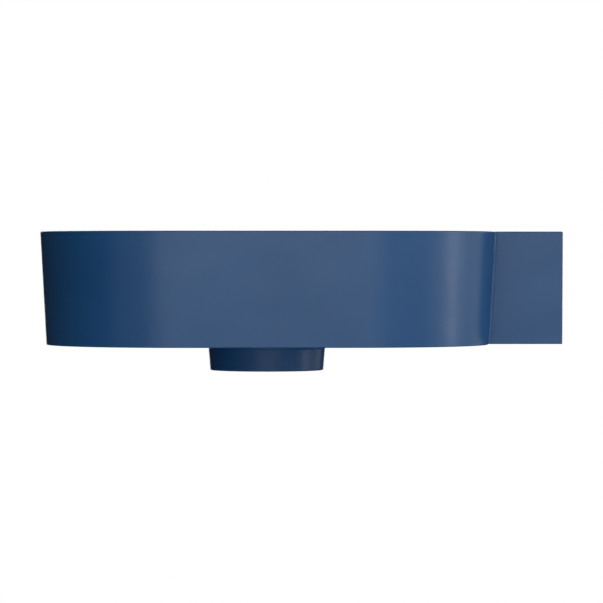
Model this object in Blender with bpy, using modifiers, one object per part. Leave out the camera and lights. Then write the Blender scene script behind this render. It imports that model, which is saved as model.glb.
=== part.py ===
"""A wall-hung ceramic washbasin with its push-open waste, as separate solids.

Metres, +Z up. The wall is the plane y = 0 and the basin projects from it towards -Y. The origin is the
centre of the wall face, midway between the two fixing holes. Depths are measured down from the rim.
"""

import math

import bmesh
import bpy

# The ceramic casting, outside. Body and wall block share one plan outline and one draft.
WIDTH = 0.600
PROJECTION = 0.470
BODY_LENGTH = 0.408
BODY_HEIGHT = 0.1015
CORNER_RADIUS = 0.1255
DRAFT = math.radians(3.1)
JOIN_FILLET = 0.004
CORNER_SEGMENTS = 10
FILLET_SEGMENTS = 3
RIM_Z = BODY_HEIGHT / 2
CORNER_X = WIDTH / 2 - CORNER_RADIUS
BODY_BACK_Y = BODY_LENGTH - PROJECTION
FOOT_INSET = BODY_HEIGHT * math.tan(DRAFT)

# The waste boss, under the middle of the body.
WASTE_Y = BODY_LENGTH / 2 - PROJECTION
BOSS_RADIUS = 0.056
BOSS_DROP = 0.0289
BOSS_DRAFT = math.radians(4.7)
BOSS_FILLET = 0.010
BOSS_WALL = 0.0095
BOSS_END_RADIUS = BOSS_RADIUS - BOSS_DROP * math.tan(BOSS_DRAFT)
WEB_DEPTH = 0.104

# The bowl.
RIM_THICKNESS = 0.012
BACK_RIM_THICKNESS = 0.024
BOWL_BACK_Y = BODY_BACK_Y - BACK_RIM_THICKNESS
BOWL_DRAFT = math.radians(6.0)
BOWL_FILLET = 0.028
FLOOR_EDGE_DEPTH = 0.076
FLOOR_DEPTH = 0.080
RECESS_RADIUS = 0.0365
RECESS_DEPTH = 0.084
WASTE_HOLE_RADIUS = 0.023

# The tap ledge, the service cavity behind the bowl and the wall fixings.
SHELL = 0.012
TAP_HOLE_RADIUS = 0.0175
TAP_HOLE_Y = (BODY_BACK_Y - SHELL) / 2
DUCT_HALF_WIDTH = 0.034
POCKET_DEPTH = 0.010
FIXING_SPACING = 0.280
FIXING_HOLE_RADIUS = 0.0105
SLEEVE_BORE = 0.0062
SLEEVE_FLANGE_RADIUS = 0.015
SLEEVE_FLANGE = 0.0025

# The overflow: a hole in the rear of the bowl, a passage down the rear wall and one through the floor.
OVERFLOW_DEPTH = 0.034
OVERFLOW_HOLE_RADIUS = 0.0116
OVERFLOW_RING_RADIUS = 0.0145
OVERFLOW_RING_BORE = 0.0090
OVERFLOW_BARREL = 0.012
PASSAGE_HALF_WIDTH = 0.020
PASSAGE_Y = (BODY_BACK_Y - 0.018, BODY_BACK_Y - 0.007)
PASSAGE_TOP_DEPTH = 0.022
RUN_DEPTHS = (0.087, 0.0955)

# The waste body.
CLEARANCE = 0.0003
FLANGE_RADIUS = 0.035
FLANGE_TOP_DEPTH = 0.0798
FLANGE_BOTTOM_DEPTH = 0.0819
FLANGE_EDGE = 0.0007
MOUTH_RADIUS = 0.0225
MOUTH_EDGE = 0.0006
CONE_DEPTH = 0.0848
NECK_RADIUS = 0.0226
NECK_DEPTH = 0.0868
TAIL_RADIUS = 0.02095
TAIL_BORE = 0.0185
TAIL_DEPTH = 0.129
SLOT_DEPTHS = (0.0880, 0.0970)
SLOT_WIDTH = 0.018
HUB_RADIUS = 0.0085
HUB_DEPTHS = (0.1157, 0.1207)
SPIDER_ARMS = 3
ARM_WIDTH = 0.003

# The rings and the nut that clamp the waste.
FLANGE_SEAL_RADII = (0.0236, 0.0340)
GASKET_RADII = (0.0213, 0.0310)
GASKET_THICKNESS = 0.003
SLIP_WASHER_RADII = (0.0213, 0.0300)
SLIP_WASHER_THICKNESS = 0.0015
BACK_NUT_ACROSS = 0.052
BACK_NUT_HEIGHT = 0.010

# The plug, from its cap down. Its depths are those of the closed plug.
PLUG_TRAVEL = 0.008
CAP_RADIUS = 0.031
CAP_BOTTOM_DEPTH = 0.0793
CAP_EDGE_HEIGHT = 0.0035
CAP_HEIGHT = 0.0055
CARRIER_RADII = (0.0185, 0.0140, 0.0175, 0.0065)
CARRIER_HEIGHTS = (0.0010, 0.0024, 0.0012, 0.0028)
CARRIER_SOCKET = 0.0014
SEAL_RADII = (0.0143, 0.0200, 0.0213)
SEAL_THICKNESS = 0.0018
LOCK_NUT_ACROSS = 0.010
LOCK_NUT_HEIGHT = 0.0026

# The push-push cartridge.
HOUSING_RADIUS = 0.0075
HOUSING_BORE = 0.0056
HOUSING_DEPTHS = (0.0905, 0.1154)
CHAMBER_DEPTHS = (0.0925, 0.1134)
SPIGOT_RADIUS = 0.005
SPIGOT_DEPTH = 0.1215
SHAFT_RADIUS = 0.003
SHAFT_BORE = SHAFT_RADIUS + CLEARANCE
HEAD_RADIUS = 0.0051
HEAD_HEIGHT = 0.003
LATCH_HEIGHT = 0.003
SPRING_RADIUS = 0.0040
SPRING_WIRE_RADIUS = 0.00045
SPRING_TURNS = 5
SPRING_POINTS_PER_TURN = 12

LARGE_STEPS = 48
MEDIUM_STEPS = 32
SMALL_STEPS = 24
PAST = 0.005  # how far a cutter runs past the face that it cuts


def down(depth):
    """The height of a point that lies this far below the rim."""
    return RIM_Z - depth


# Scene and materials


def clear_scene():
    for existing in list(bpy.data.objects):
        bpy.data.objects.remove(existing, do_unlink=True)


def new_collection(name):
    collection = bpy.data.collections.new(name)
    bpy.context.scene.collection.children.link(collection)
    return collection


def material(name, colour, roughness, metallic=0.0):
    made = bpy.data.materials.new(name)
    made.use_nodes = True
    shader = made.node_tree.nodes["Principled BSDF"]
    shader.inputs["Base Color"].default_value = (*colour, 1.0)
    shader.inputs["Roughness"].default_value = roughness
    shader.inputs["Metallic"].default_value = metallic
    return made


clear_scene()
PARTS = new_collection("wall_hung_washbasin")
CUTTERS = new_collection("cutters")
GLAZE = material("blue_glaze", (0.020, 0.090, 0.250), 0.35)
CHROME = material("chrome", (0.80, 0.81, 0.82), 0.12, 1.0)
BRASS = material("brass", (0.72, 0.55, 0.27), 0.35, 1.0)
STEEL = material("spring_steel", (0.55, 0.56, 0.58), 0.30, 1.0)
RUBBER = material("black_rubber", (0.020, 0.020, 0.022), 0.80)
WHITE_PLASTIC = material("white_plastic", (0.80, 0.80, 0.78), 0.50)
GREY_PLASTIC = material("grey_plastic", (0.30, 0.31, 0.33), 0.50)


# Building blocks


def add_object(name, mesh, look, y=0.0):
    """A part with its own axis at this y, or a cutter where no material is given."""
    made = bpy.data.objects.new(name, mesh)
    made.location.y = y
    if look is None:
        CUTTERS.objects.link(made)
        made.hide_render = True
        made.display_type = "WIRE"
    else:
        PARTS.objects.link(made)
        mesh.materials.append(look)
    return made


def mesh_from(bm, name):
    bmesh.ops.recalc_face_normals(bm, faces=bm.faces)
    mesh = bpy.data.meshes.new(name)
    bm.to_mesh(mesh)
    bm.free()
    return mesh


def arc(centre, radius, start, end, segments):
    """Points along an arc, both ends included, with its angles in degrees."""
    steps = [math.radians(start + (end - start) * i / segments) for i in range(segments + 1)]
    return [(centre[0] + radius * math.cos(t), centre[1] + radius * math.sin(t)) for t in steps]


def both_sides(right_half):
    """A closed outline from its half at x > 0, which runs from front to back."""
    return right_half + [(-x, y) for x, y in reversed(right_half)]


def loft(name, rings, look=None):
    """A closed solid through rings of (outline, height) that have the same number of points."""
    bm = bmesh.new()
    loops = [[bm.verts.new((x, y, z)) for x, y in outline] for outline, z in rings]
    for upper, lower in zip(loops, loops[1:]):
        for i in range(len(upper)):
            bm.faces.new((upper[i - 1], upper[i], lower[i], lower[i - 1]))
    bm.faces.new(loops[0])
    bm.faces.new(loops[-1])
    return add_object(name, mesh_from(bm, name), look)


def box(name, low, high, look=None, y=0.0):
    bm = bmesh.new()
    bmesh.ops.create_cube(bm, size=1.0)
    for vert in bm.verts:
        vert.co = [a if c < 0 else b for a, b, c in zip(low, high, vert.co)]
    return add_object(name, mesh_from(bm, name), look, y)


def turned(name, profile, look=None, y=WASTE_Y, steps=LARGE_STEPS, closed=True):
    """A turned solid. Its profile of (radius, height) runs down the outer side."""
    bm = bmesh.new()
    verts = [bm.verts.new((radius, 0.0, z)) for radius, z in profile]
    for a, b in zip(verts, verts[1:]):
        bm.edges.new((a, b))
    if closed:
        bm.edges.new((verts[-1], verts[0]))
    mesh = bpy.data.meshes.new(name)
    bm.to_mesh(mesh)
    bm.free()
    made = add_object(name, mesh, look, y)
    screw = made.modifiers.new("turn", "SCREW")
    screw.steps = steps
    screw.render_steps = steps
    screw.use_merge_vertices = True
    screw.merge_threshold = 0.00001
    screw.use_smooth_shade = True
    return made


def cylinder(name, radius, z_low, z_high, look=None, y=WASTE_Y, steps=LARGE_STEPS):
    profile = [(0.0, z_high), (radius, z_high), (radius, z_low), (0.0, z_low)]
    return turned(name, profile, look, y, steps, closed=False)


def ring(name, radii, depths, look, steps=LARGE_STEPS):
    """A flat ring on the waste's axis, from its inner and outer radius and its two depths."""
    inner, outer = radii
    top, bottom = down(depths[0]), down(depths[1])
    return turned(name, [(outer, top), (outer, bottom), (inner, bottom), (inner, top)], look, steps=steps)


def combine(part, others, operation="DIFFERENCE"):
    """Cuts the other solids from a part, or joins them to it, in one step."""
    group = bpy.data.collections.new(f"{part.name}_{operation.lower()}")
    CUTTERS.children.link(group)
    for other in others:
        CUTTERS.objects.unlink(other)
        group.objects.link(other)
    step = part.modifiers.new(group.name, "BOOLEAN")
    step.operation = operation
    step.solver = "EXACT"
    step.operand_type = "COLLECTION"
    step.collection = group


# The ceramic casting


def outer_outline(inset):
    """The plan of body and block, stepped in by the draft everywhere but at the wall."""
    radius = CORNER_RADIUS - inset
    front = (CORNER_X, CORNER_RADIUS - PROJECTION)
    rear = (CORNER_X, BODY_BACK_Y - CORNER_RADIUS)
    reach = radius + JOIN_FILLET
    lean = max(JOIN_FILLET - inset, 0.0)
    angle = math.degrees(math.asin(lean / reach))
    join = (CORNER_X - inset + JOIN_FILLET, rear[1] + math.sqrt(reach**2 - lean**2))
    half = arc(front, radius, -90, 0, CORNER_SEGMENTS)
    half += arc(rear, radius, 0, 90 - angle, CORNER_SEGMENTS)
    half += arc(join, JOIN_FILLET, 270 - angle, 180, FILLET_SEGMENTS)
    half.append((CORNER_X - inset, 0.0))
    return both_sides(half)


def bowl_outline(inset):
    """The bowl's plan, stepped in from its line at the rim."""
    radius = CORNER_RADIUS - RIM_THICKNESS - inset
    front = (CORNER_X, CORNER_RADIUS - PROJECTION)
    rear = (CORNER_X, BOWL_BACK_Y - CORNER_RADIUS + RIM_THICKNESS)
    half = arc(front, radius, -90, 0, CORNER_SEGMENTS)
    half += arc(rear, radius, 0, 90, CORNER_SEGMENTS)
    return both_sides(half)


def around_waste(outline, radius):
    """The points of a circle round the waste that face the points of an outline."""
    found = []
    for x, y in outline:
        scale = radius / math.hypot(x, y - WASTE_Y)
        found.append((x * scale, WASTE_Y + (y - WASTE_Y) * scale))
    return found


def bowl_cutter():
    """The hollow of the bowl: leaning walls, a round fillet and a floor that falls to the waste."""
    fillet_steps = 6
    centre_depth = FLOOR_EDGE_DEPTH - BOWL_FILLET
    centre_inset = (BOWL_FILLET + centre_depth * math.sin(BOWL_DRAFT)) / math.cos(BOWL_DRAFT)
    rings = [(bowl_outline(-PAST * math.tan(BOWL_DRAFT)), down(-PAST))]
    for i in range(fillet_steps + 1):
        angle = BOWL_DRAFT + (math.pi / 2 - BOWL_DRAFT) * i / fillet_steps
        inset = centre_inset - BOWL_FILLET * math.cos(angle)
        rings.append((bowl_outline(inset), down(centre_depth + BOWL_FILLET * math.sin(angle))))
    within_recess = RECESS_RADIUS * 0.8
    rings.append((around_waste(bowl_outline(centre_inset), within_recess), down(FLOOR_DEPTH)))
    return loft("bowl_cutter", rings)


def boss():
    """The tapered boss with its concave fillet to the underside; it starts inside the floor."""
    underside = down(BODY_HEIGHT)
    start = BOSS_RADIUS + BOSS_FILLET
    profile = [(0.0, underside + PAST), (start, underside + PAST)]
    for i in range(FILLET_SEGMENTS + 1):
        angle = math.radians(90) * i / FILLET_SEGMENTS
        drop = BOSS_FILLET * (1 - math.cos(angle))
        radius = start - BOSS_FILLET * math.sin(angle) - drop * math.tan(BOSS_DRAFT)
        profile.append((radius, underside - drop))
    profile += [(BOSS_END_RADIUS, underside - BOSS_DROP), (0.0, underside - BOSS_DROP)]
    return turned("boss_solid", profile, closed=False)


def waste_cutter():
    """The recess for the flange and the hole through the web."""
    top, bottom = down(FLOOR_EDGE_DEPTH - PAST), down(WEB_DEPTH + PAST)
    seat = down(RECESS_DEPTH)
    profile = [(0.0, top), (RECESS_RADIUS, top), (RECESS_RADIUS, seat)]
    profile += [(WASTE_HOLE_RADIUS, seat), (WASTE_HOLE_RADIUS, bottom), (0.0, bottom)]
    return turned("waste_cutter", profile, closed=False)


def boss_cutter():
    """The hollow of the boss, open below, where the nut and the trap's collar go."""
    flare = 0.0015
    end_radius = BOSS_END_RADIUS - BOSS_WALL
    z_low = down(BODY_HEIGHT + BOSS_DROP + PAST)
    profile = [(0.0, down(WEB_DEPTH)), (end_radius - flare, down(WEB_DEPTH))]
    profile += [(end_radius, z_low), (0.0, z_low)]
    return turned("boss_cutter", profile, closed=False)


def cavity_cutters():
    """The service cavity behind the bowl, open below, and a pocket each side of the overflow passage."""
    z_low = down(BODY_HEIGHT + PAST)
    top_x = CORNER_X - SHELL - SHELL * math.tan(DRAFT)
    low_x = CORNER_X - SHELL - FOOT_INSET
    pocket_y = BODY_BACK_Y - POCKET_DEPTH

    def upright(name, left, right, front_y, back_y):
        """A block whose left and right sides are given at its top and at its foot."""
        rings = []
        for x_left, x_right, z in ((left[0], right[0], down(SHELL)), (left[1], right[1], z_low)):
            rings.append(([(x_left, front_y), (x_right, front_y), (x_right, back_y), (x_left, back_y)], z))
        return loft(name, rings)

    wall = (top_x, low_x)
    mirrored = (-top_x, -low_x)
    duct = (DUCT_HALF_WIDTH, DUCT_HALF_WIDTH)
    mirrored_duct = (-DUCT_HALF_WIDTH, -DUCT_HALF_WIDTH)
    return [
        upright("cavity_cutter", mirrored, wall, BODY_BACK_Y, -SHELL),
        upright("right_pocket_cutter", duct, wall, pocket_y, BODY_BACK_Y + CLEARANCE),
        upright("left_pocket_cutter", mirrored, mirrored_duct, pocket_y, BODY_BACK_Y + CLEARANCE),
    ]


def overflow_place():
    """Where the overflow hole meets the bowl's rear wall, and the tilt of its axis."""
    y = BOWL_BACK_Y - OVERFLOW_DEPTH * math.tan(BOWL_DRAFT)
    return (0.0, y, down(OVERFLOW_DEPTH)), math.radians(90) - BOWL_DRAFT


def overflow_cutters():
    """The hole, the passage down the rear wall and the passage through the floor to the waste hole."""
    place, tilt = overflow_place()
    reach = OVERFLOW_BARREL + 0.004
    hole = cylinder("overflow_hole_cutter", OVERFLOW_HOLE_RADIUS, -reach, PAST, y=0.0, steps=MEDIUM_STEPS)
    hole.location = place
    hole.rotation_euler.x = tilt
    half = PASSAGE_HALF_WIDTH
    top, bottom = down(RUN_DEPTHS[0]), down(RUN_DEPTHS[1])
    fall_top = down(PASSAGE_TOP_DEPTH)
    fall = box("fall_cutter", (-half, PASSAGE_Y[0], bottom), (half, PASSAGE_Y[1], fall_top))
    # The run is a little narrower than the fall that it meets, so that no two cutter faces coincide.
    half -= CLEARANCE
    run_low = (-half, WASTE_Y + WASTE_HOLE_RADIUS / 2, bottom + CLEARANCE)
    run = box("run_cutter", run_low, (half, PASSAGE_Y[0] + PAST, top))
    return [hole, fall, run]


def hole_cutters():
    """The tap hole through the ledge and the two fixing holes through the wall plate."""
    depth = SHELL + PAST
    tap = cylinder(
        "tap_hole_cutter", TAP_HOLE_RADIUS, down(depth), down(-PAST), y=TAP_HOLE_Y, steps=MEDIUM_STEPS
    )
    found = [tap]
    for side, sign in (("left", -1), ("right", 1)):
        name = f"fixing_hole_cutter_{side}"
        hole = cylinder(name, FIXING_HOLE_RADIUS, -PAST, depth, y=0.0, steps=SMALL_STEPS)
        hole.rotation_euler.x = math.radians(90)
        hole.location.x = sign * FIXING_SPACING / 2
        found.append(hole)
    return found


def basin_body():
    rings = [(outer_outline(0.0), RIM_Z), (outer_outline(FOOT_INSET), down(BODY_HEIGHT))]
    body = loft("basin_body", rings, GLAZE)
    combine(body, [boss()], "UNION")
    cutters = [bowl_cutter(), waste_cutter(), boss_cutter()]
    combine(body, cutters + cavity_cutters() + overflow_cutters() + hole_cutters())


# Trim and wall fixings


def overflow_ring():
    """A trim ring with a barrel that goes into the overflow hole, square to the leaning rear wall."""
    rounding = 0.0012
    face = 0.0023
    barrel = OVERFLOW_HOLE_RADIUS - CLEARANCE
    profile = [
        (OVERFLOW_RING_BORE + rounding, face),
        (OVERFLOW_RING_RADIUS - rounding, face),
        (OVERFLOW_RING_RADIUS, face - rounding),
        (OVERFLOW_RING_RADIUS, CLEARANCE),
        (barrel, CLEARANCE),
        (barrel, -OVERFLOW_BARREL),
        (OVERFLOW_RING_BORE, -OVERFLOW_BARREL),
        (OVERFLOW_RING_BORE, face - rounding),
    ]
    made = turned("overflow_ring", profile, CHROME, steps=MEDIUM_STEPS)
    made.location, made.rotation_euler.x = overflow_place()


def fixing_sleeve(side, sign):
    """A flanged bush that centres the wall stud in its hole; the flange is inside the cavity."""
    barrel = FIXING_HOLE_RADIUS - CLEARANCE
    back = -CLEARANCE
    seat = -SHELL - CLEARANCE
    front = seat - SLEEVE_FLANGE
    profile = [(SLEEVE_BORE, back), (barrel, back), (barrel, seat)]
    profile += [(SLEEVE_FLANGE_RADIUS, seat), (SLEEVE_FLANGE_RADIUS, front), (SLEEVE_BORE, front)]
    made = turned(f"fixing_sleeve_{side}", profile, WHITE_PLASTIC, steps=SMALL_STEPS)
    made.rotation_euler.x = math.radians(-90)
    made.location = (sign * FIXING_SPACING / 2, 0.0, 0.0)


# The waste


def waste_body():
    """One turning: flange, conical seat, neck, slotted tail, and a spider that carries the cartridge."""
    profile = [
        (MOUTH_RADIUS + MOUTH_EDGE, down(FLANGE_TOP_DEPTH)),
        (FLANGE_RADIUS - FLANGE_EDGE, down(FLANGE_TOP_DEPTH)),
        (FLANGE_RADIUS, down(FLANGE_TOP_DEPTH + FLANGE_EDGE)),
        (FLANGE_RADIUS, down(FLANGE_BOTTOM_DEPTH)),
        (NECK_RADIUS, down(FLANGE_BOTTOM_DEPTH)),
        (NECK_RADIUS, down(NECK_DEPTH)),
        (TAIL_RADIUS, down(NECK_DEPTH)),
        (TAIL_RADIUS, down(TAIL_DEPTH)),
        (TAIL_BORE, down(TAIL_DEPTH)),
        (TAIL_BORE, down(CONE_DEPTH)),
        (MOUTH_RADIUS, down(FLANGE_TOP_DEPTH + MOUTH_EDGE)),
    ]
    body = turned("waste_body", profile, CHROME)
    combine(body, overflow_slots())
    combine(body, spider(), "UNION")


def overflow_slots():
    """Two crossed bars that open four windows in the tail, level with the overflow passage."""
    reach = TAIL_RADIUS + PAST
    slots = []
    for i in range(2):
        low = (-reach, -SLOT_WIDTH / 2, down(SLOT_DEPTHS[1]))
        high = (reach, SLOT_WIDTH / 2, down(SLOT_DEPTHS[0]))
        slots.append(box(f"slot_cutter_{i + 1}", low, high, y=WASTE_Y))
        slots[-1].rotation_euler.z = math.radians(45 + 90 * i)
    return slots


def spider():
    """The hub that holds the cartridge, and its arms to the tail's wall."""
    shoulder = 0.0005
    bite = 0.001  # how far an arm runs into the hub and into the tail's wall
    hub_radii = (SPIGOT_RADIUS + CLEARANCE, HUB_RADIUS)
    solids = [ring("hub_solid", hub_radii, HUB_DEPTHS, None, SMALL_STEPS)]
    for i in range(SPIDER_ARMS):
        low = (HUB_RADIUS - bite, -ARM_WIDTH / 2, down(HUB_DEPTHS[1] - shoulder))
        high = (TAIL_BORE + bite, ARM_WIDTH / 2, down(HUB_DEPTHS[0] + shoulder))
        solids.append(box(f"arm_solid_{i + 1}", low, high, y=WASTE_Y))
        solids[-1].rotation_euler.z = math.radians(90 + 360 * i / SPIDER_ARMS)
    return solids


def hex_nut(name, across_flats, bore, top_depth, height, look):
    """A six-sided nut on the waste's axis."""
    radius = across_flats / 2 / math.cos(math.radians(30))
    bm = bmesh.new()
    bmesh.ops.create_cone(bm, cap_ends=True, segments=6, radius1=radius, radius2=radius, depth=height)
    nut = add_object(name, mesh_from(bm, name), look, WASTE_Y)
    middle = down(top_depth + height / 2)
    nut.location.z = middle
    half = height / 2 + PAST
    hole = cylinder(f"{name}_cutter", bore, middle - half, middle + half, steps=MEDIUM_STEPS)
    combine(nut, [hole])


def waste_clamp():
    """The seal under the flange, then the gasket, slip washer and nut under the web."""
    seal_depths = (FLANGE_BOTTOM_DEPTH + CLEARANCE, RECESS_DEPTH - CLEARANCE)
    ring("waste_flange_seal", FLANGE_SEAL_RADII, seal_depths, RUBBER)
    depth = WEB_DEPTH + CLEARANCE
    ring("waste_lower_gasket", GASKET_RADII, (depth, depth + GASKET_THICKNESS), RUBBER)
    depth += GASKET_THICKNESS + CLEARANCE
    ring("waste_slip_washer", SLIP_WASHER_RADII, (depth, depth + SLIP_WASHER_THICKNESS), GREY_PLASTIC)
    depth += SLIP_WASHER_THICKNESS + CLEARANCE
    hex_nut("waste_back_nut", BACK_NUT_ACROSS, TAIL_RADIUS + CLEARANCE, depth, BACK_NUT_HEIGHT, BRASS)


# The cartridge and the plug. They are drawn with the plug open, which is the rest position.


def cartridge_housing():
    """A barrel with a chamber for the spring, a lip round the shaft and a spigot into the spider."""
    profile = [
        (0.0, down(CHAMBER_DEPTHS[1])),
        (HOUSING_BORE, down(CHAMBER_DEPTHS[1])),
        (HOUSING_BORE, down(CHAMBER_DEPTHS[0])),
        (SHAFT_BORE, down(CHAMBER_DEPTHS[0])),
        (SHAFT_BORE, down(HOUSING_DEPTHS[0])),
        (HOUSING_RADIUS, down(HOUSING_DEPTHS[0])),
        (HOUSING_RADIUS, down(HOUSING_DEPTHS[1])),
        (SPIGOT_RADIUS, down(HOUSING_DEPTHS[1])),
        (SPIGOT_RADIUS, down(SPIGOT_DEPTH)),
        (0.0, down(SPIGOT_DEPTH)),
    ]
    turned("cartridge_housing", profile, WHITE_PLASTIC, steps=SMALL_STEPS, closed=False)


def cartridge_plunger(shaft_top_depth):
    """The ring that latches the shaft, the shaft with its head, and the spring that lifts them."""
    latch_top = CHAMBER_DEPTHS[0] + CLEARANCE
    head_top = latch_top + LATCH_HEIGHT + CLEARANCE
    head_bottom = head_top + HEAD_HEIGHT
    latch_depths = (latch_top, latch_top + LATCH_HEIGHT)
    ring("cartridge_latch_ring", (SHAFT_BORE, HEAD_RADIUS), latch_depths, GREY_PLASTIC, SMALL_STEPS)
    profile = [
        (0.0, down(shaft_top_depth)),
        (SHAFT_RADIUS, down(shaft_top_depth)),
        (SHAFT_RADIUS, down(head_top)),
        (HEAD_RADIUS, down(head_top)),
        (HEAD_RADIUS, down(head_bottom)),
        (0.0, down(head_bottom)),
    ]
    turned("cartridge_plunger", profile, STEEL, steps=SMALL_STEPS, closed=False)
    cartridge_spring(down(CHAMBER_DEPTHS[1] - CLEARANCE), down(head_bottom + CLEARANCE))


def cartridge_spring(z_low, z_high):
    """A coil spring between two heights."""
    count = SPRING_TURNS * SPRING_POINTS_PER_TURN
    length = z_high - z_low - 2 * SPRING_WIRE_RADIUS
    curve = bpy.data.curves.new("cartridge_spring", "CURVE")
    curve.dimensions = "3D"
    curve.bevel_depth = SPRING_WIRE_RADIUS
    curve.bevel_resolution = 2
    curve.use_fill_caps = True
    spline = curve.splines.new("POLY")
    spline.points.add(count)
    for i, point in enumerate(spline.points):
        angle = 2 * math.pi * i / SPRING_POINTS_PER_TURN
        z = z_low + SPRING_WIRE_RADIUS + length * i / count
        point.co = (SPRING_RADIUS * math.cos(angle), SPRING_RADIUS * math.sin(angle), z, 1.0)
    spring = bpy.data.objects.new("cartridge_spring", curve)
    spring.location.y = WASTE_Y
    curve.materials.append(STEEL)
    PARTS.objects.link(spring)


def plug_cap(bottom_depth):
    """A low ceramic dome with a rounded edge."""
    dome_steps = 4
    rounding = 0.0010
    flat = down(bottom_depth)
    profile = []
    for i in range(dome_steps + 1):
        share = i / dome_steps
        rise = CAP_EDGE_HEIGHT + (CAP_HEIGHT - CAP_EDGE_HEIGHT) * (1 - share**2)
        profile.append(((CAP_RADIUS - rounding) * share, flat + rise))
    profile += [
        (CAP_RADIUS, flat + CAP_EDGE_HEIGHT - rounding),
        (CAP_RADIUS, flat + rounding),
        (CAP_RADIUS - rounding, flat),
        (0.0, flat),
    ]
    turned("plug_cap", profile, GLAZE, closed=False)


def plug_carrier(top_depth):
    """A spool for the seal, with a boss below that takes the shaft; returns the boss's lower end."""
    top = down(top_depth)
    profile = [(0.0, top)]
    z = top
    for radius, height in zip(CARRIER_RADII, CARRIER_HEIGHTS):
        profile += [(radius, z), (radius, z - height)]
        z -= height
    socket = top - CARRIER_SOCKET
    profile += [(SHAFT_BORE, z), (SHAFT_BORE, socket), (0.0, socket)]
    turned("plug_carrier", profile, CHROME, steps=MEDIUM_STEPS, closed=False)
    return top_depth + sum(CARRIER_HEIGHTS)


def plug_seal(top_depth):
    """A tapered rubber ring that meets the conical seat."""
    inner, foot, lip = SEAL_RADII
    top = down(top_depth)
    bottom = top - SEAL_THICKNESS
    turned("plug_seal", [(lip, top), (foot, bottom), (inner, bottom), (inner, top)], RUBBER)


def plug():
    """The pieces that rise and fall together, each hung below the last."""
    cap_bottom = CAP_BOTTOM_DEPTH - PLUG_TRAVEL
    carrier_top = cap_bottom + CLEARANCE
    plug_cap(cap_bottom)
    boss_end = plug_carrier(carrier_top)
    plug_seal(carrier_top + CARRIER_HEIGHTS[0] + CLEARANCE)
    hex_nut("plug_lock_nut", LOCK_NUT_ACROSS, SHAFT_BORE, boss_end + CLEARANCE, LOCK_NUT_HEIGHT, BRASS)
    cartridge_plunger(carrier_top + CARRIER_SOCKET + CLEARANCE)


basin_body()
overflow_ring()
fixing_sleeve("left", -1)
fixing_sleeve("right", 1)
waste_body()
waste_clamp()
cartridge_housing()
plug()
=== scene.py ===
"""Looks of the wall-hung washbasin: fine meshes, glaze, metals, plastics and rubber, light and camera.

Metres, in the CAD's frame: +Z up, the wall at y = 0, the basin towards -Y. Depths run down from the rim.
"""

import math

import bmesh
import bpy
from mathutils import Matrix, Vector


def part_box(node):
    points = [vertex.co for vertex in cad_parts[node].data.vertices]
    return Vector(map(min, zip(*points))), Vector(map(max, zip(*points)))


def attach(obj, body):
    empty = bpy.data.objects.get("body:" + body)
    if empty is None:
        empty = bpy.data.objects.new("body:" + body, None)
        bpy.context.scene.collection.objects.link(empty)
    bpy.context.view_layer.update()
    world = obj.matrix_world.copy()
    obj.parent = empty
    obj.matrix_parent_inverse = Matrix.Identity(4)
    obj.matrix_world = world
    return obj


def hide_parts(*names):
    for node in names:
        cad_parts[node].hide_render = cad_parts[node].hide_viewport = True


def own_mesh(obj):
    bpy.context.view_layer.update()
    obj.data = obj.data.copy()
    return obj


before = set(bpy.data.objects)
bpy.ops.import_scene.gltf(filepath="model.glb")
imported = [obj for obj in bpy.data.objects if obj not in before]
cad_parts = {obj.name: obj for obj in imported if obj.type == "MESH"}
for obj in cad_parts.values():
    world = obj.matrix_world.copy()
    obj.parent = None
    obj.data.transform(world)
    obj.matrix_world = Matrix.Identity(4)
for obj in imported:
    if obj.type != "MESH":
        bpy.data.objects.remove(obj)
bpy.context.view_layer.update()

# Sizes that the frame gives.
BODY_LOW, BODY_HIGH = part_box("basin_body")
RIM_Z = BODY_HIGH.z
WIDTH = BODY_HIGH.x - BODY_LOW.x
FRONT_Y = BODY_LOW.y
BOSS_END_DEPTH = RIM_Z - BODY_LOW.z
CAP_LOW, CAP_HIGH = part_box("plug_cap")
WASTE_Y = (CAP_LOW.y + CAP_HIGH.y) / 2

# The casting's own sizes, the same as the CAD's.
BODY_LENGTH = 0.408
BODY_HEIGHT = 0.1015
CORNER_RADIUS = 0.1255
DRAFT = math.radians(3.1)
JOIN_FILLET = 0.004
CORNER_X = WIDTH / 2 - CORNER_RADIUS
BODY_BACK_Y = FRONT_Y + BODY_LENGTH
FOOT_INSET = BODY_HEIGHT * math.tan(DRAFT)
BOSS_RADIUS = 0.056
BOSS_DRAFT = math.radians(4.7)
BOSS_FILLET = 0.010
BOSS_WALL = 0.0095
BOSS_END_RADIUS = BOSS_RADIUS - (BOSS_END_DEPTH - BODY_HEIGHT) * math.tan(BOSS_DRAFT)
WEB_DEPTH = 0.104
RIM_THICKNESS = 0.012
BOWL_BACK_Y = BODY_BACK_Y - 0.024
BOWL_DRAFT = math.radians(6.0)
BOWL_FILLET = 0.028
FLOOR_EDGE_DEPTH = 0.076
FLOOR_DEPTH = 0.080
RECESS_RADIUS = 0.0365
RECESS_DEPTH = 0.084
WASTE_HOLE_RADIUS = 0.023
SHELL = 0.012
TAP_HOLE_RADIUS = 0.0175
TAP_HOLE_Y = (BODY_BACK_Y - SHELL) / 2
DUCT_HALF_WIDTH = 0.034
POCKET_DEPTH = 0.010
POCKET_STEP = 0.002
FIXING_X = 0.140
FIXING_HOLE_RADIUS = 0.0105
FIXING_HOLE_LENGTH = 0.020
OVERFLOW_DEPTH = 0.034
OVERFLOW_HOLE_RADIUS = 0.0116
OVERFLOW_HOLE_LENGTH = 0.016
PASSAGE_HALF_WIDTH = 0.020
PASSAGE_Y = (BODY_BACK_Y - 0.018, BODY_BACK_Y - 0.007)
PASSAGE_TOP_DEPTH = 0.022
RUN_DEPTHS = (0.087, 0.0955)

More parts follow.
